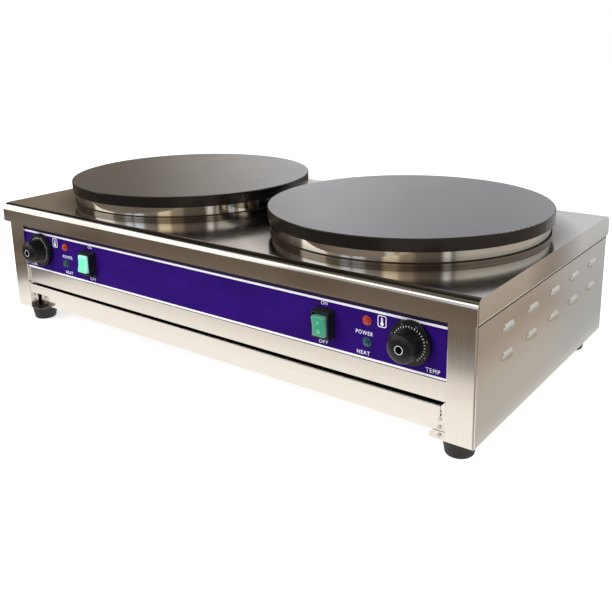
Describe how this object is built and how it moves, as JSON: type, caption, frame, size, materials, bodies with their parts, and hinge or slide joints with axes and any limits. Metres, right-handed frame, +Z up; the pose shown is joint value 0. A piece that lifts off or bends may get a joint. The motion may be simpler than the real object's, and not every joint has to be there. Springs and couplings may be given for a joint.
{
  "type": "electric crepe maker",
  "caption": "Countertop electric crepe maker: two round cast-iron plates on a stainless casing with a printed control panel and a pull-out tray.",
  "frame": {"origin": "on the table, under the middle of the object's overall box", "axes": "+X to the cook's right along the long side, +Y to the back, +Z up"},
  "size_m": [0.8624, 0.487, 0.2408],
  "materials": {
    "casing_steel": "satin brushed stainless sheet",
    "hidden_steel": "mill finish steel",
    "ring_steel": "bright rolled stainless",
    "plate_iron": "machined and seasoned cast iron",
    "overlay_print": "printed polyester film",
    "knob_black": "moulded phenolic",
    "switch_black": "moulded nylon",
    "rocker_lit": "translucent green, lit",
    "rocker_dark": "translucent green, unlit",
    "lamp_amber": "faceted translucent lens",
    "lamp_green": "faceted translucent lens",
    "lamp_holder": "moulded holder",
    "foot_rubber": "moulded rubber",
    "fastener_zinc": "bright zinc plated",
    "shaft_steel": "turned steel",
    "element_steel": "heat-tinted tube",
    "blanket_fibre": "ceramic fibre felt",
    "thermostat_case": "moulded phenolic and plated steel",
    "sensor_copper": "copper capillary and bulb",
    "gland_nylon": "black nylon",
    "terminal_ceramic": "steatite-coloured block",
    "earth_brass": "brass stud"
  },
  "bodies": {
    "casing": {"top_cover": "casing_steel", "front_panel": "casing_steel", "control_overlay": "overlay_print", "rear_panel": "casing_steel", "deck_plate": "hidden_steel", "element_clamps": "hidden_steel", "insulation_blankets": "blanket_fibre", "plate_studs": "fastener_zinc", "stud_nuts": "fastener_zinc", "lamp_holders": "lamp_holder", "foot_bolts": "fastener_zinc", "foot_nuts": "fastener_zinc", "cable_gland": "gland_nylon", "gland_locknut": "gland_nylon", "earth_stud": "earth_brass", "earth_nuts": "earth_brass", "terminal_block": "terminal_ceramic", "rear_screws": "fastener_zinc", "thermostat_screws": "fastener_zinc", "post_left": "casing_steel", "side_panel_left": "casing_steel", "bottom_rail_left": "hidden_steel", "crepe_plate_left": "plate_iron", "plate_skirt_left": "ring_steel", "plate_collar_left": "ring_steel", "heat_pan_left": "hidden_steel", "heating_element_left": "element_steel", "thermostat_left": "thermostat_case", "temperature_sensor_left": "sensor_copper", "switch_housing_left": "switch_black", "power_lens_left": "lamp_amber", "heat_lens_left": "lamp_green", "foot_front_left": "foot_rubber", "foot_rear_left": "foot_rubber", "post_right": "casing_steel", "side_panel_right": "casing_steel", "bottom_rail_right": "hidden_steel", "crepe_plate_right": "plate_iron", "plate_skirt_right": "ring_steel", "plate_collar_right": "ring_steel", "heat_pan_right": "hidden_steel", "heating_element_right": "element_steel", "thermostat_right": "thermostat_case", "temperature_sensor_right": "sensor_copper", "switch_housing_right": "switch_black", "power_lens_right": "lamp_amber", "heat_lens_right": "lamp_green", "foot_front_right": "foot_rubber", "foot_rear_right": "foot_rubber"},
    "tray": {"tray_front": "casing_steel", "tray_pan": "hidden_steel", "tray_rivets": "casing_steel"},
    "knob_left_body": {"knob_left": "knob_black", "knob_cap_left": "knob_black", "thermostat_shaft_left": "shaft_steel"},
    "knob_right_body": {"knob_right": "knob_black", "knob_cap_right": "knob_black", "thermostat_shaft_right": "shaft_steel"},
    "rocker_left_body": {"rocker_left": "rocker_lit"},
    "rocker_right_body": {"rocker_right": "rocker_dark"}
  },
  "joints": [
    {"name": "tray_slide", "type": "slide", "parent": "casing", "child": "tray", "axis": [0, -1, 0], "range_m": [0, 0.3]},
    {"name": "knob_left_turn", "type": "hinge", "parent": "casing", "child": "knob_left_body", "pos_m": [-0.346, -0.225, 0.135], "axis": [0, 1, 0], "range_deg": [0, 290]},
    {"name": "rocker_left_tilt", "type": "hinge", "parent": "casing", "child": "rocker_left_body", "pos_m": [-0.225, -0.2166, 0.132], "axis": [1, 0, 0], "range_deg": [0, 12]},
    {"name": "knob_right_turn", "type": "hinge", "parent": "casing", "child": "knob_right_body", "pos_m": [0.346, -0.225, 0.135], "axis": [0, 1, 0], "range_deg": [0, 290]},
    {"name": "rocker_right_tilt", "type": "hinge", "parent": "casing", "child": "rocker_right_body", "pos_m": [0.225, -0.2166, 0.132], "axis": [1, 0, 0], "range_deg": [-12, 0]}
  ]
}
